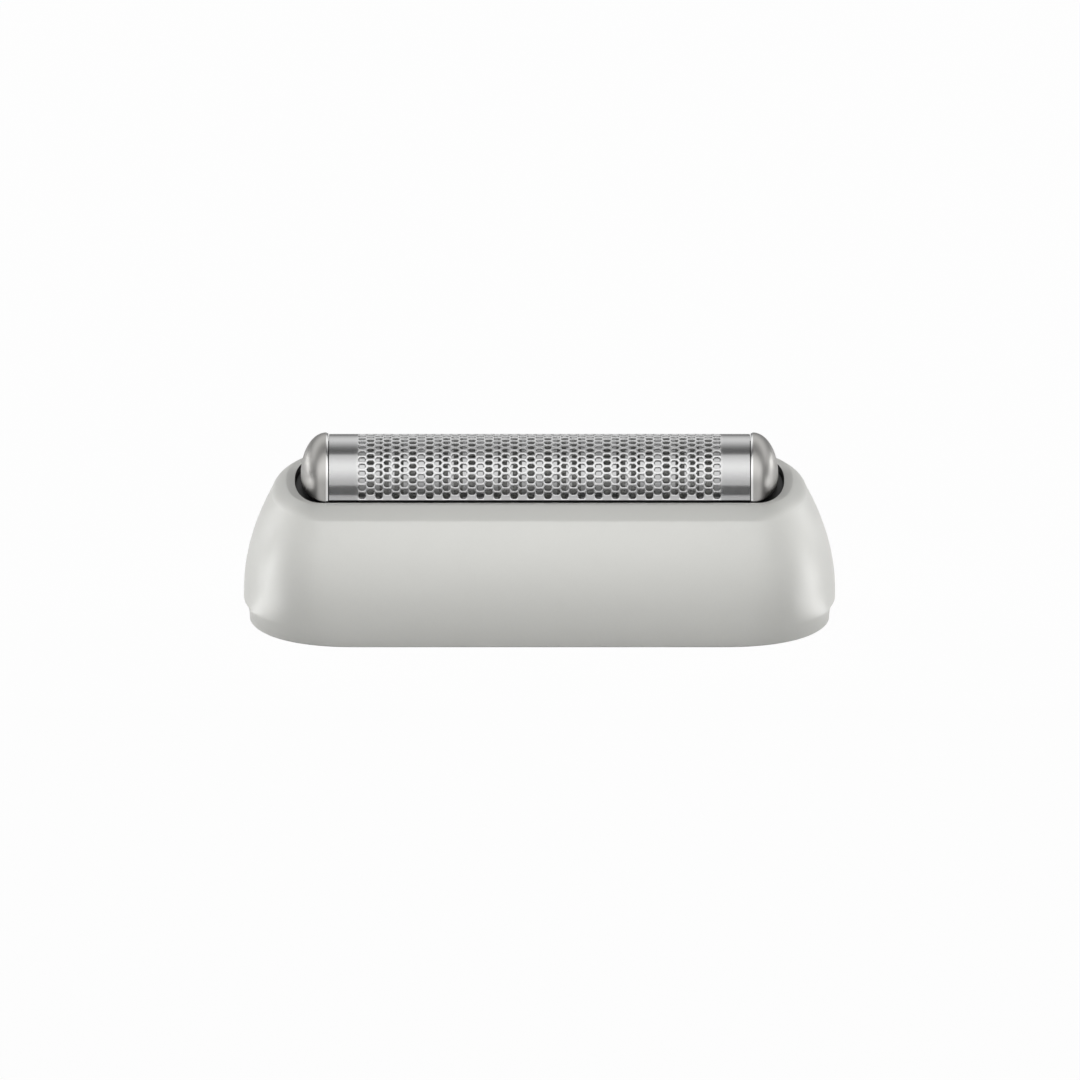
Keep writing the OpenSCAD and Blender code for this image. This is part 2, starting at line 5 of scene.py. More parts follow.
import bmesh
import bpy
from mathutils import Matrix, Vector


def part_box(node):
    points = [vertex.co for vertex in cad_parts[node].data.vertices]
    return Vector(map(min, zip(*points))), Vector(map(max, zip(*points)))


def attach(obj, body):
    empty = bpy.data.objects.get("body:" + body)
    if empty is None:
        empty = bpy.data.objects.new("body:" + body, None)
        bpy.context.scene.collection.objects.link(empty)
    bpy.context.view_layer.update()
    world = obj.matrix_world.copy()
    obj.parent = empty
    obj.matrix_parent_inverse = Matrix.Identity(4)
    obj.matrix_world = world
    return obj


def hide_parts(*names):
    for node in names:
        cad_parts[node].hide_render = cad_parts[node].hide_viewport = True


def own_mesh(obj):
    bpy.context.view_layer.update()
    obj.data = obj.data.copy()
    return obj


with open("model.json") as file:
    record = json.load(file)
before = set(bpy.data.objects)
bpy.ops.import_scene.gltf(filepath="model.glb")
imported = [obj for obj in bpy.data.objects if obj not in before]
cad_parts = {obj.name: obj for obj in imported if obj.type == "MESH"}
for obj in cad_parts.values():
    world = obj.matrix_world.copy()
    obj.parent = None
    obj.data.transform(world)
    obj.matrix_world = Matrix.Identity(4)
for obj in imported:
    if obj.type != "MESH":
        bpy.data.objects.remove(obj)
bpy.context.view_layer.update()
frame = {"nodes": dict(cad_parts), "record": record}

MM = 0.001

# Housing, in millimetres, as in the part's source
HALF_LENGTH = 21.05
HALF_DEPTH = 7.62
WIDEST_HEIGHT = 2.0
CREASE_HEIGHT = 9.23
RIDGE_HEIGHT = 10.17
END_TAPER = 2.0
SIDE_TAPER = 0.42
BAND_END_RUN = 1.03
BAND_SIDE_RUN = 1.12
BAND_BULGE = 0.22
FOOT_END_RUN = 8.0
CREASE_END_RUN = 3.9
RIDGE_END_RUN = 2.7
FOOT_SQUARE = 2.2
CREASE_SQUARE = 2.1
RIDGE_SQUARE = 2.3
FOOT_ROUND = 0.15
FOOT_STEP = 0.35
STEP_HEIGHT = 1.4
STEP_BLEND = 0.3
STEP_SOFT = 0.18
FOOT_DRAFT = 0.42
WALL = 1.2
LEDGE_WIDTH = 0.2
LEDGE_HEIGHT = 5.6
DECK_BOTTOM = 7.92
LAND_END = 0.62
LAND_SIDE = 0.38
OPENING_END_RUN = 2.0
OPENING_SQUARE = 2.2
# Depth under the land where the painted shade on the opening's inner walls begins
PAINTED_SHADE_DEPTH = 0.06

# Foil and end caps
FOIL_RADIUS = 3.6
FOIL_THICKNESS = 0.08
ARCH_HEIGHT = 9.79
FOIL_FOOT = 8.1
HOLE_COLUMNS = 43
HOLE_ROWS = 21
COLUMN_PITCH = 0.6
ROW_PITCH = 0.541
HOLE_LENGTH = 0.57
HOLE_WIDTH = 0.37
HOLE_FLAT = 0.37
HOLE_ROUND = 0.09
WEB_ROUND = 0.035
FOIL_TOE = 0.14
FOIL_TOE_TOP = 10.32
FOIL_TOE_LOW = 9.74
FOIL_TOE_END = 9.62
# Brighter tone of the perforated field: painted sheen for the light its webs catch; its higher roughness is the
# field's own finish
FIELD_SHEEN_TONE = 0.84
FIELD_ROUGHNESS = 0.31
STAKE_COUNT = 5
STAKE_MARGIN = 2.5
STAKE_HEIGHT = 8.75
STAKE_HOLE = 0.35
CAP_RADIUS = 3.71
CAP_DOME = 1.96
CAP_NOSE = 10.57
CAP_FOOT = 9.55
CAP_CORNER = 0.5
CAP_SOCKET = 0.72
CAP_RIM = 0.56
CAP_LEAN = 20
CAP_RIM_LENGTH = 0.15
CAP_RIM_DROP = 0.07

# Core that the blades stand round
CORE_RADIUS = 3.3
CORE_SHOULDER = 9.5
CORE_NECK = 0.5
CORE_FOOT = 9.2
CORE_END = 0.1

# Angle in degrees up to which the six-sided wire of the springs is shaded round
WIRE_SMOOTH = 70

# Snap beads inside the housing's wall
BEAD_RADIUS = 0.35
BEAD_LENGTH = 4
BEAD_REACH = 9
BEAD_HEIGHT = 3.85

# Camera, as the photograph was taken
PIXELS_PER_MM = 14.05
IMAGE_WIDTH = 1080
CAMERA_ELEVATION = math.radians(17.1)
CAMERA_DISTANCE = 2.0
AIM_HEIGHT = 5.66
AIM_SIDE = 0.036
SENSOR_WIDTH = 36

# Studio: levels as radiance, where 1 is white, angles in degrees and places in millimetres
FLOOR_GREY = 0.75
FLOOR_WHITE = 0.97
# Levels that the floor glows at for glossy rays, darker in front of the head: painted shade
FLOOR_MIRRORED = 0.5
FLOOR_DARK = 0.25
FLOOR_DARK_EDGE = -24
FLOOR_SOFT = 8
WORLD_FILL = 0.04
MIRROR_BASE = 0.116
PANEL_LOW = 16
PANEL_HIGH = 88
PANEL_EDGE = 3
PANEL_STRENGTH = 0.54
GLOW_HEIGHT = 58
GLOW_SPREAD = 42
GLOW_STRENGTH = 0.68
BACK_HEIGHT = 140
BACK_SPREAD = 40
BACK_STRENGTH = 0.86
CARD_END = 0.95
CARD_END_SOFT = 0.08
STRIP_WIDTH = 5
FRONT_LONG_POWER = 0.0012
FRONT_SHORT_POWER = 0.0017
FRONT_LOW_POWER = 0.0015
BACK_POWER = 0.0016
TOP_POWER = 0.29
SIDE_POWER = 1.45
CARD_CORNER_X = 18.5
CARD_CORNER_Y = 5
CARD_LIFT = 0.2
NEAR_CARD_LEVEL = 4.3
FLOOR_CARD_LEVEL = 9
FAR_CARD_LEVEL = 4.3


def only(piece):
    """Leaves just this piece selected and active."""
    bpy.ops.object.select_all(action="DESELECT")
    piece.select_set(True)
    bpy.context.view_layer.objects.active = piece


def start(name):
    """Names the primitive that was just added, and leaves it in edit mode."""
    piece = bpy.context.object
    piece.name = name
    piece.data.name = name
    return piece


def applied(piece, kind, **settings):
    """Puts a modifier on the piece and applies it."""
    only(piece)
    modifier = piece.modifiers.new(kind.title(), kind)
    for key, value in settings.items():
        setattr(modifier, key, value)
    bpy.ops.object.modifier_apply(modifier=modifier.name)


def edges_where(piece, test):
    """Selects only the edges whose two ends both pass the test."""
    bpy.ops.mesh.select_mode(type="EDGE")
    bpy.ops.mesh.select_all(action="DESELECT")
    shape = bmesh.from_edit_mesh(piece.data)
    for edge in shape.edges:
        edge.select_set(all(test(vert.co / MM) for vert in edge.verts))
    shape.select_flush_mode()
    bmesh.update_edit_mesh(piece.data)


def outwards(piece, merge=0.002):
    """Closes doubled points and turns every face outwards."""
    bpy.ops.mesh.select_all(action="SELECT")
    bpy.ops.mesh.remove_doubles(threshold=merge * MM)
    bpy.ops.mesh.normals_make_consistent(inside=False)


def smoothed(piece, angle=32):
    """Back in object mode, shaded smooth up to the angle in degrees."""
    if bpy.context.mode != "OBJECT":
        bpy.ops.object.mode_set(mode="OBJECT")
    only(piece)
    bpy.ops.object.transform_apply(location=True, rotation=True, scale=True)
    bpy.ops.object.shade_smooth_by_angle(angle=math.radians(angle))


def finished(piece, body, slot, material, *nodes):
    """Gives a new piece its body and its material, and hides the nodes that it stands for."""
    piece.data.materials.clear()
    piece.data.materials.append(material)
    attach(piece, body)
    if nodes:
        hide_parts(*nodes)
    return piece


# Outlines of the housing

def rise(z):
    return max(0.0, (z - WIDEST_HEIGHT) / (CREASE_HEIGHT - WIDEST_HEIGHT))


def up_body(foot, crease, z):
    return foot + (crease - foot) * min(1.0, z / CREASE_HEIGHT)


def step_share(z):
    turn = min(1.0, max(0.0, (z - STEP_HEIGHT) / STEP_BLEND + 0.5))
    return 1 - turn * turn * (3 - 2 * turn)


def stepped_in(x, share):
    """Draws the tip of each end back towards a flat facet with soft edges, by this share."""
    first = HALF_LENGTH - FOOT_STEP - STEP_SOFT
    past = abs(x) - first
    if past <= 0:
        return x
    facet = first + STEP_SOFT * (1 - math.exp(-past / STEP_SOFT))
    return math.copysign(abs(x) + (facet - abs(x)) * share, x)


def outline(half_length, half_depth, end_run, square, quarter=24, straight=10):
    """Points of a closed outline with straight long sides and rounded ends, counter-clockwise from +X."""
    end = []
    for step in range(quarter + 1):
        angle = math.pi / 2 * step / quarter
        x = half_length - end_run + end_run * math.cos(angle) ** (2 / square) if step < quarter else half_length - end_run
        y = half_depth * math.sin(angle) ** (2 / square)
        end.append((x, y))
    side = [(end[-1][0] * (1 - 2 * step / straight), half_depth) for step in range(1, straight)]
    half = end + side + [(-x, y) for x, y in reversed(end)]
    return half + [(-x, -y) for x, y in half[1:-1]]


def body_ring(z, inset=0.0, share=0.0):
    """Ring of the housing's body at height z, set in from its skin, and stepped in at its ends by this share."""
    draft = FOOT_DRAFT * max(0.0, 1 - z / STEP_HEIGHT) ** 1.3 if share else 0.0
    half_length = HALF_LENGTH - END_TAPER * rise(z) ** 2 - inset - draft
    half_depth = HALF_DEPTH - SIDE_TAPER * rise(z) ** 2 - inset
    end_run = up_body(FOOT_END_RUN, CREASE_END_RUN, z) - inset - draft
    ring = outline(half_length, half_depth, end_run, up_body(FOOT_SQUARE, CREASE_SQUARE, z))
    return [(stepped_in(x, share), y) for x, y in ring]


def at(z, ring):
    return [Vector((x, y, z)) for x, y in ring]


def steps(first, last, count):
    """Evenly spaced values, both ends included."""
    return [first + (last - first) * step / count for step in range(count + 1)]


def lofted(name, rings, closed=True):
    """Extrudes a circle once for each ring and lays every new ring on its outline, which no operator gives."""
    bpy.ops.object.select_all(action="DESELECT")
    bpy.ops.mesh.primitive_circle_add(vertices=len(rings[0]), radius=MM, enter_editmode=True)
    piece = start(name)
    shape = bmesh.from_edit_mesh(piece.data)
    ring = sorted(shape.verts, key=lambda vert: vert.index)
    turn = Vector((0, 0, 1)).dot(ring[0].co.cross(ring[1].co))
    if turn < 0:
        ring.reverse()
    for number, points in enumerate(rings):
        if number:
            bpy.ops.mesh.extrude_region_move()
            shape = bmesh.from_edit_mesh(piece.data)
            shape.verts.ensure_lookup_table()
            ring = [shape.verts[index] for index in order]
            ring = [next(edge.other_vert(vert) for edge in vert.link_edges if edge.other_vert(vert).select) for vert in ring]
        for vert, point in zip(ring, points):
            vert.co = point * MM
        shape.verts.index_update()
        order = [vert.index for vert in ring]
        bmesh.update_edit_mesh(piece.data)
    return piece


def housing_rings():
    """Rings from the foot up the skin, over the ridge, down the opening and back down the inside."""
    foot = []
    for angle in (0, 30, 60, 90):
        z = FOOT_ROUND * (1 - math.cos(math.radians(angle)))
        inset = FOOT_ROUND * (1 - math.sin(math.radians(angle)))
        foot.append(at(z, body_ring(z, inset, 1)))
    step = [at(z, body_ring(z, 0, step_share(z))) for z in steps(STEP_HEIGHT - STEP_BLEND / 2, STEP_HEIGHT + STEP_BLEND / 2, 8)]
    body = [at(z, body_ring(z)) for z in steps(WIDEST_HEIGHT, CREASE_HEIGHT, 16)]
    crease = (HALF_LENGTH - END_TAPER, HALF_DEPTH - SIDE_TAPER, CREASE_END_RUN, CREASE_SQUARE)
    ridge = (crease[0] - BAND_END_RUN, crease[1] - BAND_SIDE_RUN, RIDGE_END_RUN, RIDGE_SQUARE)
    band = []
    for share in steps(0, 1, 8)[1:]:
        sizes = [low + (high - low) * share for low, high in zip(crease, ridge)]
        swell = BAND_BULGE * 4 * share * (1 - share)
        ring = outline(sizes[0] + swell, sizes[1], sizes[2], sizes[3])
        band.append(at(CREASE_HEIGHT + (RIDGE_HEIGHT - CREASE_HEIGHT) * share, ring))
    opening = outline(ridge[0] - LAND_END, ridge[1] - LAND_SIDE, OPENING_END_RUN, OPENING_SQUARE)
    inside = [at(RIDGE_HEIGHT, opening)] + [at(z, opening) for z in steps(RIDGE_HEIGHT, DECK_BOTTOM, 3)[1:]]
    inside += [at(z, body_ring(z, WALL + LEDGE_WIDTH)) for z in steps(DECK_BOTTOM, LEDGE_HEIGHT, 3)]
    inside += [at(z, body_ring(z, WALL)) for z in steps(LEDGE_HEIGHT, 0, 4)]
    return foot + step + body + band + inside


def snap_beads():
    """Four round-ended beads inside the long walls, which the chassis snaps over."""
    wall_y = HALF_DEPTH - SIDE_TAPER * rise(BEAD_HEIGHT + BEAD_RADIUS) ** 2 - WALL
    bpy.ops.object.select_all(action="DESELECT")
    bpy.ops.mesh.primitive_cylinder_add(
        vertices=24, radius=BEAD_RADIUS * MM, depth=BEAD_LENGTH * MM,
        location=(-BEAD_REACH * MM, -wall_y * MM, BEAD_HEIGHT * MM), rotation=(0, math.pi / 2, 0))
    bead = start("snap_beads")
    only(bead)
    bpy.ops.object.transform_apply(location=True, rotation=True)
    bpy.ops.object.mode_set(mode="EDIT")
    edges_where(bead, lambda co: abs(abs(co.x + BEAD_REACH) - BEAD_LENGTH / 2) < 1e-3)
    bpy.ops.mesh.bevel(offset=BEAD_RADIUS / 2 * MM, segments=4, affect="EDGES")
    bpy.ops.object.mode_set(mode="OBJECT")
    for count_axis in (0, 1):
        shift = [0, 0, 0]
        shift[count_axis] = 2 * (BEAD_REACH, wall_y)[count_axis] * MM
        applied(bead, "ARRAY", count=2, use_relative_offset=False, use_constant_offset=True, constant_offset_displace=shift)
    return bead


def housing(material, painted_shade_material):
    """Moulded shell with a crisp crease, a sloped band and a flat land round the opening, whose inner walls are
    painted black as painted shade.
    """
    rings = housing_rings()
    piece = lofted("housing_shell", rings)
    edges_where(piece, lambda co: abs(co.z) < 1e-4)
    bpy.ops.mesh.bridge_edge_loops()
    outwards(piece)
    ridge_depth = HALF_DEPTH - SIDE_TAPER - BAND_SIDE_RUN
    opening_half = (HALF_LENGTH - END_TAPER - BAND_END_RUN - LAND_END, ridge_depth - LAND_SIDE)

    def on_opening(co):
        return abs(co.z - RIDGE_HEIGHT) < 1e-3 and abs(co.x) <= opening_half[0] + 1e-3 and abs(co.y) <= opening_half[1] + 1e-3

    for offset, test in (
            (0.08, lambda co: abs(co.z - CREASE_HEIGHT) < 1e-3),
            (0.07, lambda co: abs(co.z - RIDGE_HEIGHT) < 1e-3 and not on_opening(co)),
            (0.05, on_opening)):
        edges_where(piece, test)
        bpy.ops.mesh.bevel(offset=offset * MM, segments=4, profile=0.5, affect="EDGES", clamp_overlap=True)
    bpy.ops.object.mode_set(mode="OBJECT")
    beads = snap_beads()
    only(piece)
    beads.select_set(True)
    bpy.ops.object.join()
    smoothed(piece)
    finished(piece, "housing", "housing_plastic", material, "housing")
    # Inner walls of the opening, from just under the land down to the deck, get the black frame plastic: painted
    # shade for the dark gap round the cassette.
    piece.data.materials.append(painted_shade_material)
    for polygon in piece.data.polygons:
        turned_in = polygon.normal.x * polygon.center.x + polygon.normal.y * polygon.center.y < 0
        height = polygon.center.z / MM
        polygon.material_index = int(turned_in and DECK_BOTTOM < height < RIDGE_HEIGHT - PAINTED_SHADE_DEPTH)
    return piece


# Foil

def hole_cell(name):
    """One long rounded hexagonal hole in its own patch of flat sheet."""
    bpy.ops.object.select_all(action="DESELECT")
    bpy.ops.mesh.primitive_circle_add(vertices=6, radius=MM / 2, rotation=(0, 0, math.pi / 2), enter_editmode=True)
    piece = start(name)
    bpy.ops.object.mode_set(mode="OBJECT")
    only(piece)
    bpy.ops.object.transform_apply(rotation=True)
    bpy.ops.object.mode_set(mode="EDIT")
    hexagon(piece, HOLE_LENGTH, HOLE_FLAT, HOLE_WIDTH)
    bpy.ops.mesh.bevel(offset=HOLE_ROUND * MM, segments=2, affect="VERTICES")
    bpy.ops.mesh.select_all(action="DESELECT")
    bpy.ops.mesh.primitive_circle_add(vertices=6, radius=MM / 2, rotation=(0, 0, math.pi / 2))
    hexagon(piece, COLUMN_PITCH, COLUMN_PITCH, ROW_PITCH)
    bpy.ops.mesh.select_all(action="SELECT")
    bpy.ops.mesh.bridge_edge_loops()
    bpy.ops.object.mode_set(mode="OBJECT")
    return piece


def hexagon(piece, length, flat, width):
    """Draws the selected six-sided ring out to its length, the length of its flats and its width."""
    shape = bmesh.from_edit_mesh(piece.data)
    for vert in shape.verts:
        if vert.select:
            on_axis = abs(vert.co.y) < 0.1 * MM
            vert.co.x = math.copysign(length / 2 if on_axis else flat / 2, vert.co.x) * MM
            vert.co.y = 0 if on_axis else math.copysign(width / 2, vert.co.y) * MM
    bmesh.update_edit_mesh(piece.data)


def column(cell, rows, name):
    """Stacks the cell into one column of holes, with half a plain cell at each end of the shorter one."""
    piece = cell.copy()
    piece.data = cell.data.copy()
    piece.name = name
    bpy.context.collection.objects.link(piece)
    only(piece)
    bpy.ops.object.mode_set(mode="EDIT")
    bpy.ops.mesh.select_all(action="SELECT")
    bpy.ops.transform.translate(value=(0, -(rows - 1) / 2 * ROW_PITCH * MM, 0))
    bpy.ops.object.mode_set(mode="OBJECT")
    applied(piece, "ARRAY", count=rows, use_relative_offset=False, use_constant_offset=True,
            constant_offset_displace=(0, ROW_PITCH * MM, 0), use_merge_vertices=True, merge_threshold=0.002 * MM)
    if rows < HOLE_ROWS:
        bpy.ops.object.mode_set(mode="EDIT")
        for side in (-1, 1):
            limit = rows / 2 * ROW_PITCH - 0.01
            edges_where(piece, lambda co: side * co.y > limit)
            bpy.ops.mesh.extrude_region_move(TRANSFORM_OT_translate={"value": (0, side * ROW_PITCH / 2 * MM, 0)})
        bpy.ops.object.mode_set(mode="OBJECT")
    return piece


def perforated_sheet():
    """Flat sheet with all its holes and its plain margins, centred on the middle of the foil."""
    cell = hole_cell("hole_cell")
    columns = []
    for number in range(2):
        count = HOLE_COLUMNS // 2 + 1 - number
        piece = column(cell, HOLE_ROWS - number, "holes")
        bpy.ops.object.mode_set(mode="EDIT")
        bpy.ops.mesh.select_all(action="SELECT")
        bpy.ops.transform.translate(value=(-(count - 1) * COLUMN_PITCH * MM, 0, 0))
        bpy.ops.object.mode_set(mode="OBJECT")
        applied(piece, "ARRAY", count=count, use_relative_offset=False, use_constant_offset=True,
                constant_offset_displace=(2 * COLUMN_PITCH * MM, 0, 0))
        columns.append(piece)
    bpy.data.objects.remove(cell)
    only(columns[0])
    columns[1].select_set(True)
    bpy.ops.object.join()
    sheet = columns[0]
    sheet.name = "foil_sheet"
    sheet.data.name = "foil_sheet"
    low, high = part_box("foil")
    half_length = high.x / MM
    half_field = HOLE_COLUMNS / 2 * COLUMN_PITCH
    half_round = HOLE_ROWS / 2 * ROW_PITCH
    half_flat = (FOIL_RADIUS * math.pi / 2) + ARCH_HEIGHT - FOIL_FOOT
    bpy.ops.object.mode_set(mode="EDIT")
    bpy.ops.mesh.select_all(action="SELECT")
    bpy.ops.mesh.remove_doubles(threshold=0.002 * MM)
    for side in (-1, 1):
        edges_where(sheet, lambda co: side * co.x > half_field - 0.01)
        bpy.ops.mesh.extrude_region_move(TRANSFORM_OT_translate={"value": (side * (half_length - half_field) * MM, 0, 0)})
    toe = FOIL_RADIUS * math.pi / 2 + ARCH_HEIGHT - FOIL_TOE_END
    for side in (-1, 1):
        for before, after in ((half_round, toe), (toe, half_flat)):
            edges_where(sheet, lambda co: side * co.y > before - 0.01)
            bpy.ops.mesh.extrude_region_move(TRANSFORM_OT_translate={"value": (0, side * (after - before) * MM, 0)})
    bpy.ops.mesh.select_all(action="SELECT")
    bpy.ops.mesh.normals_make_consistent(inside=False)
    bpy.ops.object.mode_set(mode="OBJECT")
    return sheet


def toe_reach(z):
    """How far the foil flares out at its foot, just above the clamps."""
    if z > FOIL_TOE_LOW:
        share = max(0.0, (FOIL_TOE_TOP - z) / (FOIL_TOE_TOP - FOIL_TOE_LOW))
        return FOIL_TOE * share * share
    return FOIL_TOE * max(0.0, (z - FOIL_TOE_END) / (FOIL_TOE_LOW - FOIL_TOE_END))


def over_arch(length):
    """Place round the arch of a point that lies this far from the middle of the flat sheet, in millimetres."""
    quarter = FOIL_RADIUS * math.pi / 2
    if abs(length) <= quarter:
        angle = length / FOIL_RADIUS
        y, z = FOIL_RADIUS * math.sin(angle), ARCH_HEIGHT + FOIL_RADIUS * math.cos(angle)
    else:
        y, z = math.copysign(FOIL_RADIUS, length), ARCH_HEIGHT - (abs(length) - quarter)
    return y + math.copysign(toe_reach(z), length), z


def stake_cutter():
    """Row of rods through both lower margins of the foil, where the frame's heat stakes pass."""
    half_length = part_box("foil")[1].x / MM
    span = 2 * (half_length - STAKE_MARGIN)
    bpy.ops.object.select_all(action="DESELECT")
    bpy.ops.mesh.primitive_cylinder_add(
        vertices=24, radius=STAKE_HOLE * MM, depth=4 * FOIL_RADIUS * MM,
        location=(-span / 2 * MM, 0, STAKE_HEIGHT * MM), rotation=(math.pi / 2, 0, 0))
    rods = start("stake_rods")
    only(rods)
    bpy.ops.object.transform_apply(location=True, rotation=True)
    applied(rods, "ARRAY", count=STAKE_COUNT, use_relative_offset=False, use_constant_offset=True,
            constant_offset_displace=(span / (STAKE_COUNT - 1) * MM, 0, 0))
    return rods


def rounded_webs(piece):
    """Rounds the outer rim of every hole, so that the webs between the holes catch light from all round."""
    only(piece)
    bpy.ops.object.mode_set(mode="EDIT")
    bpy.ops.mesh.select_mode(type="EDGE")
    bpy.ops.mesh.select_all(action="DESELECT")
    bpy.ops.mesh.edges_select_sharp(sharpness=math.radians(50))
    half_field = (HOLE_COLUMNS + 1) / 2 * COLUMN_PITCH
    shape = bmesh.from_edit_mesh(piece.data)
    for edge in shape.edges:
        if edge.select:
            place = (edge.verts[0].co + edge.verts[1].co) / 2 / MM
            reach = Vector((0, place.y, max(0, place.z - ARCH_HEIGHT))).length
            edge.select_set(reach > FOIL_RADIUS - FOIL_THICKNESS / 2 and place.z > ARCH_HEIGHT and abs(place.x) < half_field)
    bmesh.update_edit_mesh(piece.data)
    bpy.ops.mesh.bevel(offset=WEB_ROUND * MM, segments=2, affect="EDGES")
    bpy.ops.object.mode_set(mode="OBJECT")


def foil(material):
    """The sheet laid over the arch and given its thickness."""
    piece = perforated_sheet()
    shape = bmesh.new()
    shape.from_mesh(piece.data)
    for vert in shape.verts:
        y, z = over_arch(vert.co.y / MM)
        vert.co.y, vert.co.z = y * MM, z * MM
    bmesh.ops.recalc_face_normals(shape, faces=shape.faces)
    top = max(shape.faces, key=lambda face: face.calc_center_median().z)
    if top.normal.z < 0:
        bmesh.ops.reverse_faces(shape, faces=shape.faces)
    shape.to_mesh(piece.data)
    shape.free()
    applied(piece, "SOLIDIFY", thickness=FOIL_THICKNESS * MM, offset=-1, use_even_offset=True)
    stakes = stake_cutter()
    applied(piece, "BOOLEAN", operation="DIFFERENCE", object=stakes, solver="EXACT")
    bpy.data.objects.remove(stakes)
    rounded_webs(piece)
    smoothed(piece, 40)
    return finished(piece, "foil_cassette", "foil_steel", material, "foil")


# End caps

def end_cap(name, side, material, rim_highlight_material):
    """Domed cap: its end profile is drawn in towards the nose as the dome closes."""
    low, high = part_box(name)
    face = low.x / MM if side > 0 else high.x / MM
    bpy.ops.object.select_all(action="DESELECT")
    bpy.ops.mesh.primitive_circle_add(
        vertices=96, radius=CAP_RADIUS * MM, fill_type="NGON",
        location=(face * MM, 0, ARCH_HEIGHT * MM), rotation=(0, math.pi / 2, 0))
    piece = start(name + "_dome")
    only(piece)
    bpy.ops.object.transform_apply(location=True, rotation=True)
    bpy.ops.object.mode_set(mode="EDIT")
    bpy.ops.mesh.select_all(action="SELECT")
    bpy.ops.mesh.bisect(plane_co=(0, 0, CAP_FOOT * MM), plane_no=(0, 0, 1), clear_inner=True, use_fill=False)
    bpy.ops.mesh.select_mode(type="VERT")
    lean = math.radians(CAP_LEAN)
    shape = bmesh.from_edit_mesh(piece.data)
    for vert in shape.verts:
        below = ARCH_HEIGHT + CAP_RADIUS * math.sin(lean) - vert.co.z / MM
        if below > 0:
            vert.co.y = math.copysign(CAP_RADIUS * math.cos(lean) + below * math.tan(lean), vert.co.y) * MM
        vert.select_set(vert.co.z < (CAP_FOOT + 0.001) * MM)
    shape.select_flush_mode()
    bmesh.update_edit_mesh(piece.data)
    bpy.ops.mesh.bevel(offset=CAP_CORNER * MM, segments=8, profile=0.5, affect="VERTICES")
    bpy.ops.mesh.select_mode(type="FACE")
    bpy.ops.mesh.select_all(action="SELECT")
    rim = 1 - CAP_RIM_DROP / CAP_RADIUS
    middle = (0, 0, ARCH_HEIGHT * MM)
    bpy.ops.transform.resize(value=(1, rim, rim), center_override=middle)
    bpy.ops.mesh.extrude_region_move(TRANSFORM_OT_translate={"value": (side * CAP_RIM_LENGTH * MM, 0, 0)})
    bpy.ops.transform.resize(value=(1, 1 / rim, 1 / rim), center_override=middle)
    dome_steps = 20
    last = 88
    nose = (0, 0, CAP_NOSE * MM)
    for number in range(dome_steps):
        before = math.radians(last * number / dome_steps)
        after = math.radians(last * (number + 1) / dome_steps)
        shift = side * (CAP_DOME - CAP_RIM_LENGTH) * (math.sin(after) - math.sin(before)) * MM
        shrink = math.cos(after) / math.cos(before)
        bpy.ops.mesh.extrude_region_move(TRANSFORM_OT_translate={"value": (shift, 0, 0)})
        bpy.ops.transform.resize(value=(1, shrink, shrink), center_override=nose)
    bpy.ops.mesh.merge(type="CENTER")
    edges_where(piece, lambda co: abs(co.x - face) < 1e-3)
    bpy.ops.mesh.edge_face_add()
    edges_where(piece, lambda co: abs(co.x - face) < 1e-3)
    bpy.ops.mesh.select_mode(type="FACE")
    bpy.ops.mesh.inset(thickness=CAP_RIM * MM)
    bpy.ops.mesh.extrude_region_move(TRANSFORM_OT_translate={"value": (side * CAP_SOCKET * MM, 0, 0)})
    outwards(piece)
    bpy.ops.object.mode_set(mode="OBJECT")
    smoothed(piece)
    finished(piece, "foil_cassette", "cap_metal", material, name)
    # The narrow chamfer round the cap's rim gets a far brighter, smoother metal: painted highlight for the bright
    # line along the rim.
    piece.data.materials.append(rim_highlight_material)
    for polygon in piece.data.polygons:
        away = abs(polygon.center.x / MM - face)
        polygon.material_index = int(1e-3 < away < CAP_RIM_LENGTH and abs(polygon.normal.x) < 0.6 and polygon_outside(polygon))
    return piece


def polygon_outside(polygon):
    """Whether a face of a cap lies on its outside, and not in the socket."""
    middle = Vector((0, polygon.center.y, polygon.center.z - ARCH_HEIGHT * MM))
    return middle.length > (CAP_RADIUS - CAP_RIM) * MM and polygon.normal.dot(middle) > 0


def blade_core(material):
    """Round-topped core of the blade carrier, which fills the arches of the blades."""
    half_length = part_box("blade_carrier")[1].x / MM - CORE_END
    bpy.ops.object.select_all(action="DESELECT")
    bpy.ops.mesh.primitive_cylinder_add(
        vertices=64, radius=CORE_RADIUS * MM, depth=2 * half_length * MM,
        location=(0, 0, ARCH_HEIGHT * MM), rotation=(0, math.pi / 2, 0))
    piece = start("blade_core")
    only(piece)
    bpy.ops.object.transform_apply(location=True, rotation=True)
    bpy.ops.object.mode_set(mode="EDIT")
    bpy.ops.mesh.select_all(action="SELECT")
    bpy.ops.mesh.bisect(plane_co=(0, 0, ARCH_HEIGHT * MM), plane_no=(0, 0, 1), clear_inner=True, use_fill=True)
    edges_where(piece, lambda co: co.z < ARCH_HEIGHT + 1e-3)
    bpy.ops.mesh.select_mode(type="FACE")
    bpy.ops.mesh.extrude_region_move(TRANSFORM_OT_translate={"value": (0, 0, (CORE_SHOULDER - ARCH_HEIGHT) * MM)})
    bpy.ops.mesh.inset(thickness=CORE_NECK * MM)
    bpy.ops.mesh.extrude_region_move(TRANSFORM_OT_translate={"value": (0, 0, (CORE_FOOT - CORE_SHOULDER) * MM)})
    outwards(piece)
    bpy.ops.object.mode_set(mode="OBJECT")
    smoothed(piece)
    return finished(piece, "cutter_block", "drive_plastic", material)


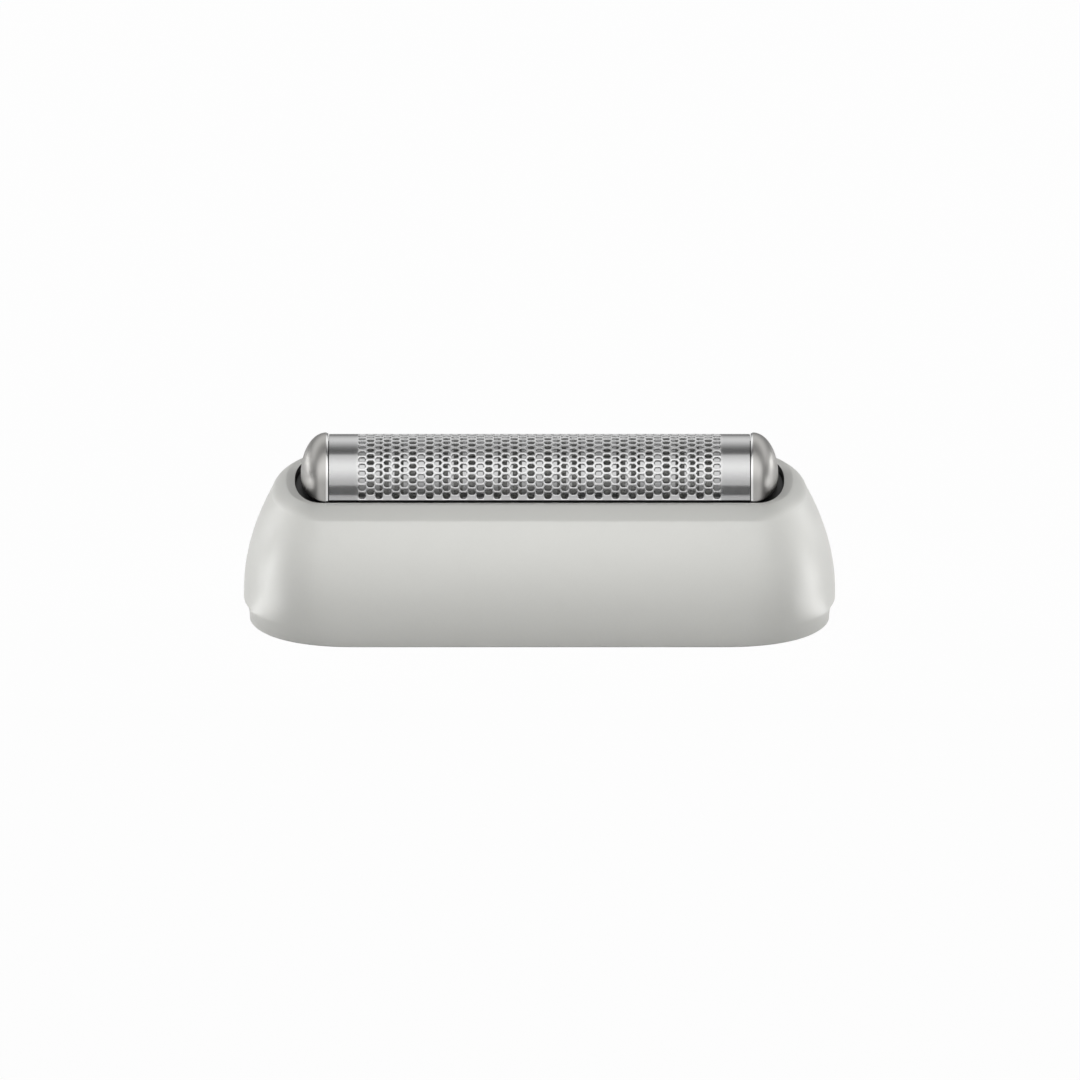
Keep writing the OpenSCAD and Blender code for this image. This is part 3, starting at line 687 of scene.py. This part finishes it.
def coil(node, body, material):
    """Spring made from the node's wire, closed up and shaded round."""
    piece = bpy.data.objects.new(node + "_coil", frame["nodes"][node].data.copy())
    bpy.context.collection.objects.link(piece)
    only(piece)
    bpy.ops.object.mode_set(mode="EDIT")
    outwards(piece)
    smoothed(piece, WIRE_SMOOTH)
    finished(piece, body, "spring_wire", material, node)
    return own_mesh(piece)


# Materials

def added(tree, kind, *inputs, **settings):
    """New node with its settings, whose inputs are values or the outputs of other nodes, in order."""
    node = tree.nodes.new(kind)
    for key, value in settings.items():
        setattr(node, key, value)
    for socket, value in zip(node.inputs, inputs):
        if isinstance(value, bpy.types.NodeSocket):
            tree.links.new(value, socket)
        elif value is not None:
            socket.default_value = value
    return node


def math_node(tree, operation, *inputs):
    return added(tree, "ShaderNodeMath", *inputs, operation=operation).outputs[0]


def new_group(name, inputs, outputs):
    """New node group with named inputs, each with its first value, and named outputs."""
    tree = bpy.data.node_groups.new(name, "ShaderNodeTree")
    for label, kind, value in inputs:
        tree.interface.new_socket(label, in_out="INPUT", socket_type=kind).default_value = value
    for label, kind in outputs:
        tree.interface.new_socket(label, in_out="OUTPUT", socket_type=kind)
    return tree, added(tree, "NodeGroupInput").outputs


def in_millimetres(tree, stretch=None):
    """Place on the object in millimetres, drawn out along its axes where a stretch is given."""
    place = added(tree, "ShaderNodeTexCoord").outputs["Object"]
    scaled = added(tree, "ShaderNodeVectorMath", place, (1 / MM, 1 / MM, 1 / MM), operation="MULTIPLY").outputs[0]
    if stretch is None:
        return scaled
    return added(tree, "ShaderNodeVectorMath", scaled, stretch, operation="DIVIDE").outputs[0]


def noise(tree, place, size, detail=2.0):
    """Soft noise from 0 to 1 whose features are this large in millimetres."""
    frequency = math_node(tree, "DIVIDE", 1.0, size)
    node = added(tree, "ShaderNodeTexNoise", place, noise_dimensions="3D")
    tree.links.new(frequency, node.inputs["Scale"])
    node.inputs["Detail"].default_value = detail
    return node.outputs[0]


def varied(tree, value, mask, depth):
    """The value, raised and lowered by a share of itself as the mask goes from 0 to 1."""
    swing = math_node(tree, "MULTIPLY", math_node(tree, "SUBTRACT", mask, 0.5), depth)
    return math_node(tree, "MULTIPLY", value, math_node(tree, "ADD", swing, 1.0))


def tinted(tree, color, factor):
    return added(tree, "ShaderNodeVectorMath", color, factor_vector(tree, factor), operation="MULTIPLY").outputs[0]


def factor_vector(tree, factor):
    return added(tree, "ShaderNodeCombineXYZ", factor, factor, factor).outputs[0]


def moulded_grain_group():
    """Fine spark-eroded grain of a moulded plastic, with a faint cloudiness in its tone."""
    tree, given = new_group(
        "moulded_grain",
        [("Color", "NodeSocketColor", (0.5, 0.5, 0.5, 1)), ("Roughness", "NodeSocketFloat", 0.4),
         ("Grain Size", "NodeSocketFloat", 0.1), ("Cloud Size", "NodeSocketFloat", 2.0),
         ("Tone Depth", "NodeSocketFloat", 0.04), ("Roughness Depth", "NodeSocketFloat", 0.15)],
        [("Color", "NodeSocketColor"), ("Roughness", "NodeSocketFloat"), ("Height", "NodeSocketFloat")])
    place = in_millimetres(tree)
    grain = noise(tree, place, given["Grain Size"], 3.0)
    cloud = noise(tree, place, given["Cloud Size"])
    both = math_node(tree, "ADD", math_node(tree, "MULTIPLY", grain, 0.6), math_node(tree, "MULTIPLY", cloud, 0.4))
    color = tinted(tree, given["Color"], varied(tree, 1.0, both, given["Tone Depth"]))
    roughness = varied(tree, given["Roughness"], cloud, given["Roughness Depth"])
    added(tree, "NodeGroupOutput", color, roughness, grain)
    return tree


def drawn_metal_group():
    """Fine lines that rolling, drawing or grinding leaves in a metal, with a faint cloudiness in its polish."""
    tree, given = new_group(
        "drawn_metal",
        [("Color", "NodeSocketColor", (0.5, 0.5, 0.5, 1)), ("Roughness", "NodeSocketFloat", 0.2),
         ("Line Stretch", "NodeSocketVector", (1, 1, 1)), ("Line Size", "NodeSocketFloat", 0.05),
         ("Tone Depth", "NodeSocketFloat", 0.05), ("Roughness Depth", "NodeSocketFloat", 0.3)],
        [("Color", "NodeSocketColor"), ("Roughness", "NodeSocketFloat"), ("Height", "NodeSocketFloat")])
    lines = noise(tree, in_millimetres(tree, given["Line Stretch"]), given["Line Size"], 3.0)
    cloud = noise(tree, in_millimetres(tree), math_node(tree, "MULTIPLY", given["Line Size"], 30.0))
    color = tinted(tree, given["Color"], varied(tree, 1.0, lines, given["Tone Depth"]))
    mixed = math_node(tree, "ADD", math_node(tree, "MULTIPLY", lines, 0.5), math_node(tree, "MULTIPLY", cloud, 0.5))
    roughness = varied(tree, given["Roughness"], mixed, given["Roughness Depth"])
    added(tree, "NodeGroupOutput", color, roughness, lines)
    return tree


def surfaced(name, group, values, bump, **sockets):
    """New material: the group's tone and polish, its height as a bump of this depth in millimetres."""
    material = bpy.data.materials.new(name)
    material.use_nodes = True
    tree = material.node_tree
    shader = tree.nodes["Principled BSDF"]
    surface = added(tree, "ShaderNodeGroup", node_tree=group)
    for key, value in values.items():
        surface.inputs[key].default_value = value
    relief = added(tree, "ShaderNodeBump")
    relief.inputs["Distance"].default_value = bump * MM
    tree.links.new(surface.outputs["Height"], relief.inputs["Height"])
    tree.links.new(relief.outputs[0], shader.inputs["Normal"])
    tree.links.new(surface.outputs["Color"], shader.inputs["Base Color"])
    tree.links.new(surface.outputs["Roughness"], shader.inputs["Roughness"])
    for key, value in sockets.items():
        shader.inputs[key.replace("_", " ")].default_value = value
    return material


def satin_grey_plastic(grain):
    values = {"Color": (0.60, 0.60, 0.575, 1), "Roughness": 0.38, "Grain Size": 0.12, "Cloud Size": 1.6,
              "Tone Depth": 0.05, "Roughness Depth": 0.12}
    return surfaced("satin_grey_plastic", grain, values, 0.003)


def matt_black_plastic(grain):
    values = {"Color": (0.014, 0.014, 0.014, 1), "Roughness": 0.5, "Grain Size": 0.09, "Cloud Size": 1.2,
              "Tone Depth": 0.3, "Roughness Depth": 0.2}
    return surfaced("matt_black_plastic", grain, values, 0.004, Specular_IOR_Level=0.25)


def drive_plastic(grain):
    values = {"Color": (0.26, 0.26, 0.25, 1), "Roughness": 0.42, "Grain Size": 0.1, "Cloud Size": 1.2,
              "Tone Depth": 0.04, "Roughness Depth": 0.15}
    return surfaced("slippery_drive_plastic", grain, values, 0.002)


def foil_steel(drawn):
    values = {"Color": (0.62, 0.62, 0.62, 1), "Roughness": 0.14, "Line Stretch": (12, 1, 1), "Line Size": 0.06,
              "Tone Depth": 0.05, "Roughness Depth": 0.3}
    material = surfaced("rolled_foil_steel", drawn, values, 0.0004, Metallic=0.86)
    tree = material.node_tree
    surface = next(node for node in tree.nodes if node.type == "GROUP")
    along = added(tree, "ShaderNodeSeparateXYZ", in_millimetres(tree)).outputs["X"]
    half_field = HOLE_COLUMNS / 2 * COLUMN_PITCH
    field = added(tree, "ShaderNodeMapRange", math_node(tree, "ABSOLUTE", along), half_field - 0.2, half_field + 0.2, 1.0, 0.0,
                  interpolation_type="SMOOTHSTEP").outputs[0]
    # The perforated field gets a brighter tone as painted sheen on its webs, and a rougher polish as its own finish.
    for key, plain, etched_and_sheen in (("Color", 0.62, FIELD_SHEEN_TONE), ("Roughness", 0.14, FIELD_ROUGHNESS)):
        level = added(tree, "ShaderNodeMapRange", field, 0.0, 1.0, plain, etched_and_sheen).outputs[0]
        tree.links.new(level, surface.inputs[key])
    return material


def cap_metal(drawn):
    values = {"Color": (0.56, 0.55, 0.53, 1), "Roughness": 0.36, "Line Stretch": (1, 1, 1), "Line Size": 0.08,
              "Tone Depth": 0.05, "Roughness Depth": 0.2}
    return surfaced("satin_cap_metal", drawn, values, 0.0006, Metallic=1.0)


# Far brighter metal for the caps' rim chamfer: a painted highlight.
def painted_highlight_rim(drawn):
    values = {"Color": (0.93, 0.93, 0.92, 1), "Roughness": 0.2, "Line Stretch": (1, 1, 1), "Line Size": 0.05,
              "Tone Depth": 0.03, "Roughness Depth": 0.2}
    return surfaced("painted_highlight_rim", drawn, values, 0.0002, Metallic=1.0)


def blade_steel(drawn):
    values = {"Color": (0.6, 0.6, 0.6, 1), "Roughness": 0.3, "Line Stretch": (1, 8, 1), "Line Size": 0.05,
              "Tone Depth": 0.15, "Roughness Depth": 0.4}
    return surfaced("ground_blade_steel", drawn, values, 0.001, Metallic=1.0)


def spring_wire(drawn):
    values = {"Color": (0.4, 0.4, 0.41, 1), "Roughness": 0.3, "Line Stretch": (1, 1, 4), "Line Size": 0.04,
              "Tone Depth": 0.15, "Roughness Depth": 0.3}
    return surfaced("drawn_spring_wire", drawn, values, 0.0006, Metallic=1.0)


# Light and stage

def softbox(name, azimuth, elevation, distance, size, power, diffuse=True, glossy=True):
    """Rectangular lamp that faces the head. Azimuth 0 is in front and 90 on the right, in degrees."""
    lamp = bpy.data.lights.new(name, "AREA")
    lamp.shape = "RECTANGLE"
    lamp.size, lamp.size_y = size
    lamp.energy = power
    holder = bpy.data.objects.new(name, lamp)
    bpy.context.scene.collection.objects.link(holder)
    turn, lift = math.radians(azimuth), math.radians(elevation)
    place = Vector((math.sin(turn) * math.cos(lift), -math.cos(turn) * math.cos(lift), math.sin(lift))) * distance
    holder.location = place
    holder.rotation_euler = (-place).to_track_quat("-Z", "Y").to_euler()
    holder.visible_camera = False
    holder.visible_diffuse = diffuse
    holder.visible_glossy = glossy
    return holder


def camera():
    """Long lens at the photograph's angle, aimed so that the head falls where the photograph has it."""
    data = bpy.data.cameras.new("camera")
    data.sensor_width = SENSOR_WIDTH
    data.lens = PIXELS_PER_MM / MM * CAMERA_DISTANCE * SENSOR_WIDTH / IMAGE_WIDTH
    data.clip_start = 0.1
    data.clip_end = 20
    holder = bpy.data.objects.new("camera", data)
    bpy.context.scene.collection.objects.link(holder)
    aim = Vector((AIM_SIDE * MM, 0, AIM_HEIGHT * MM))
    back = Vector((0, -math.cos(CAMERA_ELEVATION), math.sin(CAMERA_ELEVATION)))
    holder.location = aim + back * CAMERA_DISTANCE
    holder.rotation_euler = (math.pi / 2 - CAMERA_ELEVATION, 0, 0)
    bpy.context.scene.camera = holder


def empty_tree(owner):
    owner.use_nodes = True
    owner.node_tree.nodes.clear()
    return owner.node_tree


def floor_material():
    """Pale floor that the camera sees as white, with a trace of the head's shadow. Metal mirrors it as a glow of a
    set level, darker in front of the head: painted shade.
    """
    material = bpy.data.materials.new("pale_floor")
    tree = empty_tree(material)
    path = added(tree, "ShaderNodeLightPath").outputs
    gloss = math_node(tree, "MAXIMUM", path["Is Glossy Ray"], path["Is Transmission Ray"])
    share = math_node(tree, "ADD", math_node(tree, "MULTIPLY", path["Is Camera Ray"], FLOOR_WHITE), gloss)
    seen = path["Is Camera Ray"]
    place = in_millimetres(tree)
    ahead = added(tree, "ShaderNodeSeparateXYZ", place).outputs["Y"]
    # Painted shade: the level that metal mirrors drops from FLOOR_MIRRORED behind to FLOOR_DARK in front of the head.
    painted_mirror_shade = added(tree, "ShaderNodeMapRange", ahead, FLOOR_DARK_EDGE - FLOOR_SOFT, FLOOR_DARK_EDGE + FLOOR_SOFT, FLOOR_DARK, FLOOR_MIRRORED,
                interpolation_type="SMOOTHSTEP").outputs[0]
    mirrored = math_node(tree, "MULTIPLY", gloss, painted_mirror_shade)
    plain = added(tree, "ShaderNodeBsdfDiffuse", (FLOOR_GREY, FLOOR_GREY, FLOOR_GREY, 1)).outputs[0]
    level = math_node(tree, "ADD", seen, mirrored)
    white = added(tree, "ShaderNodeEmission", (1, 1, 1, 1), level).outputs[0]
    mixed = added(tree, "ShaderNodeMixShader", share, plain, white).outputs[0]
    added(tree, "ShaderNodeOutputMaterial", mixed)
    return material


def band(tree, value, low, high, edge, strength):
    """Strength between the low and the high value, falling to nothing over a soft edge outside each."""
    up = added(tree, "ShaderNodeMapRange", value, low - edge, low, 0.0, strength, interpolation_type="SMOOTHSTEP").outputs[0]
    down = added(tree, "ShaderNodeMapRange", value, high, high + edge, 1.0, 0.0, interpolation_type="SMOOTHSTEP").outputs[0]
    return math_node(tree, "MULTIPLY", up, down)


def soft_glow(tree, value, centre, spread, strength):
    """Brightness that falls off softly on both sides of the centre."""
    away = math_node(tree, "ABSOLUTE", math_node(tree, "SUBTRACT", value, centre))
    return added(tree, "ShaderNodeMapRange", away, 0.0, spread, strength, 0.0, interpolation_type="SMOOTHSTEP").outputs[0]


def mirrored_cards(tree):
    """Brightness of the long cards over the head, which the metal mirrors: a panel with a glow, and one behind."""
    direction = added(tree, "ShaderNodeTexCoord").outputs["Generated"]
    axes = added(tree, "ShaderNodeSeparateXYZ", direction).outputs
    over_head = math_node(tree, "ARCTAN2", axes["Z"], math_node(tree, "MULTIPLY", axes["Y"], -1.0))
    angle = math_node(tree, "DEGREES", over_head)
    panel = band(tree, angle, PANEL_LOW, PANEL_HIGH, PANEL_EDGE, PANEL_STRENGTH)
    glow = soft_glow(tree, angle, GLOW_HEIGHT, GLOW_SPREAD, GLOW_STRENGTH)
    back = soft_glow(tree, angle, BACK_HEIGHT, BACK_SPREAD, BACK_STRENGTH)
    cards = math_node(tree, "ADD", math_node(tree, "ADD", panel, glow), back)
    sideways = math_node(tree, "ABSOLUTE", axes["X"])
    ends = added(tree, "ShaderNodeMapRange", sideways, CARD_END - CARD_END_SOFT, CARD_END, 1.0, 0.0,
                 interpolation_type="SMOOTHSTEP").outputs[0]
    return math_node(tree, "ADD", math_node(tree, "MULTIPLY", cards, ends), MIRROR_BASE)


def studio_world():
    """White to the camera, plain pale light on the head, and soft cards for the metal to mirror."""
    world = bpy.data.worlds.new("studio")
    tree = empty_tree(world)
    path = added(tree, "ShaderNodeLightPath").outputs
    fill = added(tree, "ShaderNodeBackground", (1, 1, 1, 1), WORLD_FILL).outputs[0]
    mirrored = added(tree, "ShaderNodeBackground", (1, 1, 1, 1), mirrored_cards(tree)).outputs[0]
    white = added(tree, "ShaderNodeBackground", (1, 1, 1, 1), 1.0).outputs[0]
    gloss = math_node(tree, "MAXIMUM", path["Is Glossy Ray"], path["Is Transmission Ray"])
    inner = added(tree, "ShaderNodeMixShader", gloss, fill, mirrored).outputs[0]
    mixed = added(tree, "ShaderNodeMixShader", path["Is Camera Ray"], inner, white).outputs[0]
    added(tree, "ShaderNodeOutputWorld", mixed)
    bpy.context.scene.world = world


def stage():
    bpy.ops.object.select_all(action="DESELECT")
    bpy.ops.mesh.primitive_plane_add(size=6)
    floor = start("floor")
    floor.data.materials.append(floor_material())
    studio_world()
    bpy.context.scene.view_settings.view_transform = "Standard"


def area_lamp(name, place, turn, size, power, glossy):
    """Rectangular lamp that the camera doesn't see, and that only mirrors or only lights."""
    lamp = bpy.data.lights.new(name, "AREA")
    lamp.shape = "RECTANGLE"
    lamp.size, lamp.size_y = size[0] * MM, size[1] * MM
    lamp.energy = power
    holder = bpy.data.objects.new(name, lamp)
    bpy.context.scene.collection.objects.link(holder)
    holder.location = Vector(place) * MM
    holder.rotation_euler = turn
    holder.visible_camera = False
    holder.visible_diffuse = not glossy
    holder.visible_glossy = glossy
    return holder


def strip(name, side, distance, height, length, power):
    """Long low lamp close in front of the head or behind it, whose light falls off towards the foot."""
    return area_lamp(name, (0, side * distance, height), (-side * math.pi / 2, 0, 0),
                     (length, STRIP_WIDTH), power, glossy=False)


def floor_card(name, side, azimuth, near, far, width, level):
    """Bright strip of card on the floor, running away from a corner of the head, for the corner to mirror."""
    turn = math.radians(azimuth)
    middle = (near + far) / 2
    place = (side * (CARD_CORNER_X + middle * math.sin(turn)), -CARD_CORNER_Y - middle * math.cos(turn), CARD_LIFT)
    along = math.atan2(-math.cos(turn), side * math.sin(turn))
    power = level * math.pi * (far - near) * width * MM * MM
    return area_lamp(name, place, (math.pi, 0, along), (far - near, width), power, glossy=True)


def lamps():
    """Plain soft light from the front, behind, above and both sides, and the cards for the corners."""
    strip("front_strip_long", -1, 17, 10, 120, FRONT_LONG_POWER)
    strip("front_strip_short", -1, 16, 10, 46, FRONT_SHORT_POWER)
    strip("front_strip_low", -1, 22, 6, 120, FRONT_LOW_POWER)
    strip("back_strip", 1, 22, 12, 46, BACK_POWER)
    softbox("top_box", 0, 80, 0.4, (0.25, 0.2), TOP_POWER, glossy=False)
    for label, side in (("left", -1), ("right", 1)):
        softbox("side_box_" + label, side * 117, 15, 0.4, (0.25, 0.2), SIDE_POWER, glossy=False)
        softbox("far_card_" + label, side * 130, 2, 0.4, (0.14, 0.04), FAR_CARD_LEVEL * math.pi * 0.14 * 0.04, diffuse=False)
        floor_card("near_floor_card_" + label, side, 94, 4.5, 22, 8, NEAR_CARD_LEVEL)
        floor_card("floor_card_" + label, side, 105, 22, 70, 14, FLOOR_CARD_LEVEL)


camera()
stage()
lamps()

moulded_grain = moulded_grain_group()
drawn_metal = drawn_metal_group()
finishes = {
    "housing_plastic": satin_grey_plastic(moulded_grain),
    "frame_plastic": matt_black_plastic(moulded_grain),
    "drive_plastic": drive_plastic(moulded_grain),
    "foil_steel": foil_steel(drawn_metal),
    "cap_metal": cap_metal(drawn_metal),
    "blade_steel": blade_steel(drawn_metal),
    "spring_wire": spring_wire(drawn_metal),
}

housing(finishes["housing_plastic"], finishes["frame_plastic"])
foil(finishes["foil_steel"])
rim_highlight_paint = painted_highlight_rim(drawn_metal)
end_cap("end_cap_left", -1, finishes["cap_metal"], rim_highlight_paint)
end_cap("end_cap_right", 1, finishes["cap_metal"], rim_highlight_paint)
blade_core(finishes["drive_plastic"])
for end in ("left", "right"):
    coil("float_spring_" + end, "housing", finishes["spring_wire"])
    coil("cutter_spring_" + end, "drive_bridge", finishes["spring_wire"])

for part in frame["record"]["subparts"]:
    node = frame["nodes"][part["node"]]
    node.data.materials.clear()
    node.data.materials.append(finishes[part["material_slot"]])
